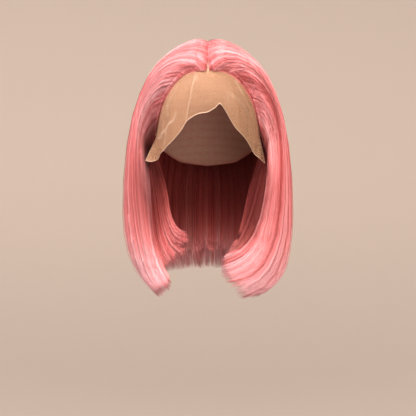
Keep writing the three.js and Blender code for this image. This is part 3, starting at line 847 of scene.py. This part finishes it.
# Fine pressed lines: how sharp they show, then places as azimuth and share of the way from hairline to cut
laceLines = [
    (0.6, [(-14.2, 0.03), (-14.7, 0.12), (-17.3, 0.62), (-21.3, 1)]),
    (0.4, [(-12.8, 0), (-12, 0.21)]),
    (0.6, [(-35, 0.1), (-39.6, 0.27), (-45, 0.29), (-50.5, 0.28)]),
    (0.6, [(-41.3, 0.2), (-44.2, 0.36), (-43.8, 0.58)]),
    (0.9, [(-33.5, 0.69), (-36, 0.75), (-45.7, 0.72), (-63.6, 0.38)]),
    (0.7, [(-44.2, 0.73), (-52.5, 0.94)]),
    (0.4, [(-50.5, 0.28), (-58.7, 0.22), (-71.1, 0.16)]),
    (0.5, [(-66, 0.45), (-70, 0.7), (-73, 1)]),
    (0.7, [(32.6, 0), (34, 0.12), (38.9, 0.21)]),
    (0.5, [(19.6, 0.52), (31.6, 0.5), (42.6, 0.51)]),
    (0.65, [(47.5, 0.29), (54.5, 0.46), (62.6, 0.8)]),
    (0.6, [(73, 0.16), (66.6, 0.64), (61.7, 1)]),
    (0.35, [(19.6, 0.52), (20.1, 0.88)]),
    (0.4, [(43, 0.55), (52, 0.75), (57, 0.95)]),
]
laceForm = {
    "wall": 0.5, "flare": 1.3, "seamGap": 0.6, "columns": 290, "rows": 72, "tucked": 10,
    "perAzimuth": 1.5, "perElevation": 1.75,  # millimetres to a degree
    "lineCore": (0.32, 0.8), "lineHaze": (0.16, 2.6), "lineRidge": (0.4, 1.4),  # amount and half width
    "cutHem": (0.75, 0.9), "sideHem": (0.6, 0.8),
    "creaseRate": 2, "ridgeRate": 6, "hemRate": 3,  # how soon they are full below the hairline
    "endCover": 0.08, "sheerRight": 0.5, "sheerLeft": 0.3, "sheerSpares": 4, "partWidth": 2, "partCover": 0.5,
    # Start and stretch, in degrees from the front or as shares of the way from the hairline
    "endCoverFrom": (58, 14), "sheerFrom": (56, 10), "sheerBelow": (0.25, 0.4), "tiedAbove": (0.02, 0.1),
}
capSize = {
    "wall": 1.2, "columns": 150, "rows": 96, "crownHole": 0.012, "girth": 85, "recess": 0.7,
    "weftPitch": 12, "weftWidth": 1.3, "weftShow": 0.85, "hem": 5,
}


def gridQuads(index):
    # Quads between neighbours in a grid of point numbers
    a, b, c, d = index[:-1, :-1], index[:-1, 1:], index[1:, 1:], index[1:, :-1]
    return np.stack([a, b, c, d], axis=-1).reshape(-1, 4)


def wallMesh(name, outer, inner, material, closedRound):
    # Closed wall between two grids of points, rows by columns
    rows, columns = outer.shape[:2]
    size = rows * columns
    index = np.arange(size).reshape(rows, columns)
    if closedRound:
        index = np.concatenate([index, index[:, :1]], axis=1)
    front = gridQuads(index)
    back = front[:, ::-1] + size
    borders = [index[0][::-1], index[-1]] + ([] if closedRound else [index[:, 0], index[:, -1][::-1]])
    rims = [np.stack([e[1:], e[:-1], e[:-1] + size, e[1:] + size], axis=-1) for e in borders]
    quads = np.concatenate([front, back, *rims])
    points = np.concatenate([outer.reshape(-1, 3), inner.reshape(-1, 3)])
    return makeMesh(name, points, [quads], material), quads


def addPlane(piece, quads, around, down):
    # Flat coordinates of the cloth, in metres, for the net's pattern
    plane = np.stack([np.broadcast_to(around, down.shape), down], axis=-1).reshape(-1, 2) * mm
    layer = piece.data.uv_layers.new(name="netPlane")
    layer.data.foreach_set("uv", plane[quads.ravel() % len(plane)].astype(np.float32).ravel())


def addMask(piece, name, outer, inner):
    layer = piece.data.attributes.new(name, "FLOAT", "POINT")
    layer.data.foreach_set("value", np.concatenate([outer.ravel(), inner.ravel()]).astype(np.float32))


def downFrom(points):
    # Distance from the first row of a grid, down each column
    steps = np.linalg.norm(np.diff(points, axis=0), axis=2)
    return np.concatenate([np.zeros((1, points.shape[1])), np.cumsum(steps, axis=0)])


def nearLine(points, line):
    # How near points lie to a line of straight stretches, all in millimetres
    near = np.full(points.shape[:-1], np.inf)
    for start, end in zip(line[:-1], line[1:]):
        along = end - start
        t = np.clip(((points - start) @ along) / (along @ along), 0, 1)
        near = np.minimum(near, np.linalg.norm(points - start - t[..., None] * along, axis=-1))
    return near


def pressLines(azimuth, share):
    # Cover and height that the pressed lines give the lace, on a plan of it in millimetres
    across = laceForm["perAzimuth"]
    drop = (laceRows[:, 1] - laceRows[:, 2]) * laceForm["perElevation"]
    fall = np.interp(azimuth, laceRows[:, 0], drop)
    shape = (len(share), len(azimuth))
    plan = np.stack([np.broadcast_to(azimuth * across, shape), share * fall], axis=-1)
    (core, coreWidth), (haze, hazeWidth) = laceForm["lineCore"], laceForm["lineHaze"]
    ridge, ridgeWidth = laceForm["lineRidge"]
    cover, height = np.zeros(shape), np.zeros(shape)
    for sharp, places in laceLines:
        line = np.array([(a * across, s * np.interp(a, azimuth, fall)) for a, s in places])
        near = nearLine(plan, line)
        # Each line shows as closer, paler net; part of its paleness is a painted highlight on the crease
        cover = np.maximum(cover, sharp * (core * bell(near, coreWidth) + haze * bell(near, hazeWidth)))
        height = height + ridge * sharp * bell(near, ridgeWidth)
    return cover, height


def makeLace():
    columns, rows, tucked = laceForm["columns"], laceForm["rows"], laceForm["tucked"]
    azimuth, hairline, cut, standOff = rowAt(laceRows, np.linspace(0, 1, columns + 1)).T
    seam = np.interp(np.abs(azimuth), capEdge[:, 0], capEdge[:, 1]) - laceForm["seamGap"]
    # -1 at the cap's seam, 0 at the hairline and 1 at the cut
    share = np.concatenate([np.linspace(-1, 0, tucked + 1)[:-1], np.linspace(0, 1, rows + 1)])[:, None]
    loose = np.maximum(share, 0)
    elevation = hairline + np.where(share < 0, hairline - seam, cut - hairline) * share
    lift = standOff * loose ** laceForm["flare"]
    for top, foot, width, height in laceCreases:
        crease = height * bell(azimuth - (top + (foot - top) * loose), width)
        lift = lift + crease * ease(loose * laceForm["creaseRate"])
    cover, ridges = pressLines(azimuth, share)
    lift = lift + ridges * ease(loose * laceForm["ridgeRate"])
    towards = direction(np.broadcast_to(azimuth, elevation.shape), elevation)
    outer = formPoint(towards, lift + laceForm["wall"])
    piece, quads = wallMesh("laceFront", outer, formPoint(towards, lift), laceNet, False)
    down = downFrom(outer)
    steps = np.linalg.norm(np.diff(outer[tucked + rows // 3], axis=0), axis=1)
    around = np.concatenate([[0], np.cumsum(steps)])
    addPlane(piece, quads, around, down)

    # Hems close the net, and the loose ends are sheerer
    hem, hemWidth = laceForm["cutHem"]
    sideHem, sideWidth = laceForm["sideHem"]
    toSide = np.minimum(around, around[-1] - around)
    fromFront = np.abs(azimuth)
    cover = np.maximum(cover, laceForm["endCover"] * ramp(fromFront, *laceForm["endCoverFrom"]) * loose)
    cover = np.maximum(cover, hem * bell(down[-1:] - down, hemWidth))
    cover = np.maximum(cover, sideHem * bell(toSide, sideWidth) * ease(loose * laceForm["hemRate"]))
    sheer = np.where(azimuth < 0, laceForm["sheerRight"], laceForm["sheerLeft"])
    sheer = sheer * ramp(fromFront, *laceForm["sheerFrom"]) * ramp(loose, *laceForm["sheerBelow"])
    cover = cover - sheer * np.clip(1 - laceForm["sheerSpares"] * cover, 0, 1)
    # Hair is tied in behind the hairline, and leaves the part bare
    bare = np.exp(-(outer[..., 0] / laceForm["partWidth"]) ** 4)
    tied = ramp(-share, *laceForm["tiedAbove"]) * (1 - bare)
    cover = np.maximum(cover, laceForm["partCover"] * bare * (share < 0))
    addMask(piece, "laceFold", cover, cover)
    addMask(piece, "tiedHair", tied, tied)

    return piece


def makeCap():
    columns, rows, pitch = capSize["columns"], capSize["rows"], capSize["weftPitch"]
    azimuth = np.linspace(0, 360, columns, endpoint=False)
    edge = np.interp(np.minimum(azimuth, 360 - azimuth), capEdge[:, 0], capEdge[:, 1])
    share = np.linspace(capSize["crownHole"], 1, rows)[:, None]
    towards = direction(np.broadcast_to(azimuth, (rows, columns)), 90 - (90 - edge) * share)
    outer = formPoint(towards, np.full((rows, columns), capSize["wall"]))
    down = downFrom(outer)
    weft = bell((down + pitch / 2) % pitch - pitch / 2, capSize["weftWidth"])
    hem = np.exp(-((down[-1:] - down) / capSize["hem"]) ** 4)
    inner = formPoint(towards, capSize["recess"] * (1 - np.maximum(weft, hem)))
    piece, quads = wallMesh("wigCap", outer, inner, capNet, True)
    addPlane(piece, quads, np.radians(azimuth) * capSize["girth"], down)
    rowsShown = np.maximum(weft * capSize["weftShow"], hem)
    addMask(piece, "weftRow", rowsShown, rowsShown)
    addMask(piece, "tiedHair", np.ones(weft.shape), np.zeros(weft.shape))
    return piece


addPiece(makeLace(), "lace_front")
addPiece(makeCap(), "wig_cap")
print("lace and cap made")


# Round floor that sweeps up into a backdrop on all sides, in metres
stageLook = {
    "colour": (0.725, 0.61, 0.525), "drift": 0.97, "driftScale": 1.5, "roughness": 0.9,
    # Near the floor the colour is darkened as a painted shade
    "low": 0.78, "front": 0.25,  # shares of the colour near the floor and in front
    "frontFade": (1.6, -1), "floor": -1.05, "wall": 2.8, "sweep": 1.0, "top": 3.4,
    "sides": 96, "bends": 24, "middleDisc": 0.02,
}


def makeBackdrop():
    material, tree, surface = newMaterial("backdrop")
    noise = tree.nodes.new("ShaderNodeTexNoise")
    noise.inputs["Scale"].default_value = stageLook["driftScale"]
    pale = stageLook["colour"]
    deeper = tuple(stageLook["drift"] * v for v in pale)
    colour = mixColours(tree, noise.outputs["Fac"], pale, deeper)
    place = tree.nodes.new("ShaderNodeTexCoord")
    split = tree.nodes.new("ShaderNodeSeparateXYZ")
    feed(tree, split.inputs[0], place.outputs["Object"])
    # Darker towards the floor: painted shade
    lowFade = ("Z", 0, stageLook["floor"], stageLook["low"])
    frontFade = ("Y", *stageLook["frontFade"], stageLook["front"])
    for axis, start, end, share in (lowFade, frontFade):
        fade = tree.nodes.new("ShaderNodeMapRange")
        fade.interpolation_type = "SMOOTHSTEP"
        fade.inputs["From Min"].default_value = start
        fade.inputs["From Max"].default_value = end
        feed(tree, fade.inputs["Value"], split.outputs[axis])
        darker = mixColours(tree, 1, colour, (share, share, share), "MULTIPLY")
        colour = mixColours(tree, fade.outputs[0], colour, darker)
    feed(tree, surface.inputs["Base Color"], colour)
    surface.inputs["Roughness"].default_value = stageLook["roughness"]
    return material


def makeStage():
    sweep, floor, wall = stageLook["sweep"], stageLook["floor"], stageLook["wall"]
    bend = [(wall - sweep + sweep * math.sin(a), floor + sweep * (1 - math.cos(a)))
            for a in np.linspace(0, math.pi / 2, stageLook["bends"])]
    profile = np.array([(stageLook["middleDisc"], floor), *bend, (wall, stageLook["top"])]) / mm
    turn = np.linspace(0, 2 * math.pi, stageLook["sides"], endpoint=False)
    reach, height = profile[:, :1], np.broadcast_to(profile[:, 1:], (len(profile), len(turn)))
    points = np.stack([reach * np.sin(turn), -reach * np.cos(turn), height], axis=-1)
    index = np.arange(height.size).reshape(height.shape)
    index = np.concatenate([index, index[:, :1]], axis=1)
    faces = [gridQuads(index), index[:1, :-1]]
    makeMesh("backdrop", points.reshape(-1, 3), faces, makeBackdrop())


makeStage()


# Soft studio light
def addLight(name, place, aim, size, power, colour, spread=180):
    light = bpy.data.lights.new(name, "AREA")
    light.shape = "RECTANGLE"
    light.size, light.size_y = size
    light.energy = power
    light.color = colour
    light.spread = math.radians(spread)
    lamp = bpy.data.objects.new(name, light)
    lamp.location = place
    towards = np.array(aim) - np.array(place)
    tilt = math.atan2(math.hypot(towards[0], towards[1]), -towards[2])
    lamp.rotation_euler = (tilt, 0, math.atan2(-towards[0], towards[1]))
    lamp.visible_camera = False
    scene.collection.objects.link(lamp)


middle = (0, 0, -0.17)
addLight("keyLight", (-1.20, -0.85, 1.00), middle, (0.8, 0.8), 36, (1, 0.97, 0.97))
addLight("fillLight", (0.35, -1.8, 0.25), middle, (1.2, 1.0), 8, (1, 0.95, 0.86))
addLight("frontLight", (0.20, -1.30, 1.05), (0, 0, -0.25), (0.8, 0.5), 31, (1, 0.96, 0.89))
addLight("rightLight", (1.35, -0.60, 0.85), middle, (0.6, 0.8), 17, (1, 0.97, 0.95))
addLight("topLight", (-0.1, -0.3, 1.55), middle, (1.0, 0.7), 35, (1, 0.97, 1))
addLight("backLight", (0.0, 1.4, 0.70), middle, (1.2, 0.8), 24, (1, 0.97, 0.97))
# Narrow, so that it lights the ends from below and not the floor
addLight("lowLight", (0.6, -1.25, -0.85), (0, 0, -0.3), (1.4, 0.5), 1.35, (1, 0.92, 0.86), 60)
studio = {"colour": (1, 0.93, 0.88, 1), "strength": 0.18}
world = bpy.data.worlds.new("studio")
world.use_nodes = True
world.node_tree.nodes["Background"].inputs["Color"].default_value = studio["colour"]
world.node_tree.nodes["Background"].inputs["Strength"].default_value = studio["strength"]
scene.world = world
scene.view_settings.view_transform = "Standard"
print("stage and light set")
